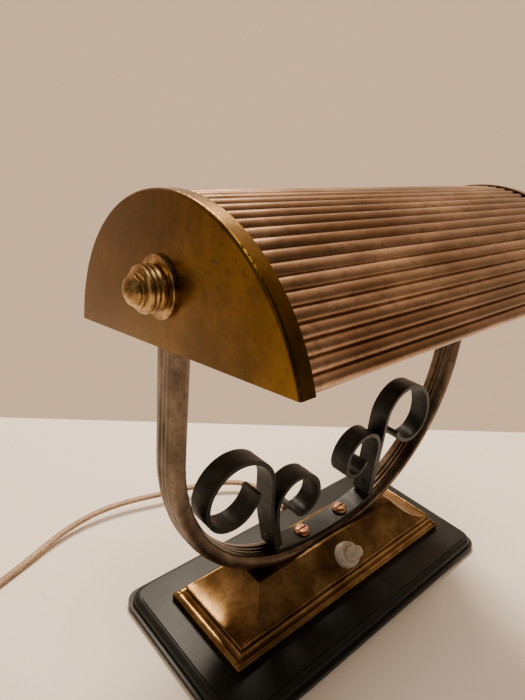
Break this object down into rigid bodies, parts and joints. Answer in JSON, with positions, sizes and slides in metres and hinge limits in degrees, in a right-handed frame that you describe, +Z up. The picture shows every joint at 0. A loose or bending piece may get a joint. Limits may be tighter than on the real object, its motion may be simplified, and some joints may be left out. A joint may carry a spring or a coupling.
{
  "type": "desk lamp",
  "caption": "Banker's desk lamp with a wooden base, a hipped brass plinth, a U-shaped reeded arm with iron scrolls and a ribbed half-round brass shade that tilts.",
  "frame": {"origin": "on the table under the middle of the lamp, measured without its cord", "axes": "+X along the shade's length, -Y to the lamp's front where the switch is, +Z up"},
  "size_m": [0.3541, 0.189, 0.232],
  "materials": {
    "felt": "matte",
    "ebonised_wood": "satin",
    "steel": "satin",
    "plinth_brass": "satin",
    "arm_brass": "satin",
    "black_iron": "satin",
    "copper": "satin",
    "cap_brass": "satin",
    "shade_brass": "satin",
    "knob_brass": "satin",
    "cream_plastic": "satin",
    "porcelain": "gloss",
    "clear_glass": "gloss",
    "tungsten": "satin",
    "gold_cord": "satin",
    "brown_plastic": "gloss"
  },
  "bodies": {
    "stand": {"felt_pad": "felt", "base_block": "ebonised_wood", "ballast_plate": "steel", "ballast_screw_left": "steel", "ballast_screw_right": "steel", "brass_plinth": "plinth_brass", "reeded_arm": "arm_brass", "internal_lead": "gold_cord", "scroll_band": "black_iron", "scroll_small_left": "black_iron", "scroll_small_right": "black_iron", "scroll_rivet_left": "black_iron", "scroll_rivet_right": "black_iron", "arm_screw_left": "copper", "arm_screw_right": "copper", "arm_nut_left": "steel", "arm_nut_right": "steel", "terminal_block": "porcelain", "switch_collar": "cream_plastic", "switch_body": "brown_plastic", "pivot_stud_left": "steel", "pivot_stud_right": "steel", "friction_washer_left": "steel", "friction_washer_right": "steel", "lampholder_bracket": "steel", "lampholder_shell": "knob_brass", "lampholder_core": "porcelain", "bulb_cap": "knob_brass", "bulb_glass": "clear_glass", "bulb_filament": "tungsten", "cord_grommet": "brown_plastic", "cord_run": "gold_cord", "cord_coil": "gold_cord", "coil_tie": "black_iron", "plug_body": "brown_plastic", "plug_pin_left": "steel", "plug_pin_right": "steel"},
    "shade": {"ribbed_shade": "shade_brass", "end_cap_left": "cap_brass", "end_cap_right": "cap_brass", "cap_washer_left": "knob_brass", "cap_washer_right": "knob_brass"},
    "knob_left": {"knob_left": "knob_brass"},
    "knob_right": {"knob_right": "knob_brass"},
    "push_button": {"push_button": "cream_plastic"}
  },
  "joints": [
    {"name": "shade_tilt", "type": "hinge", "parent": "stand", "child": "shade", "pos_m": [0, 0.0035, 0.1985], "axis": [1, 0, 0], "range_deg": [-41, 58]},
    {"name": "knob_left_turn", "type": "hinge", "parent": "stand", "child": "knob_left", "pos_m": [-0.11406, 0.0035, 0.1985], "axis": [-1, 0, 0], "range_deg": [0, 360]},
    {"name": "knob_right_turn", "type": "hinge", "parent": "stand", "child": "knob_right", "pos_m": [0.11406, 0.0035, 0.1985], "axis": [1, 0, 0], "range_deg": [0, 360]},
    {"name": "switch_push", "type": "slide", "parent": "stand", "child": "push_button", "axis": [0, 0.6428, -0.766], "range_m": [0, 0.0025], "stiffness_N_per_m": 400, "springref_m": -0.001}
  ]
}
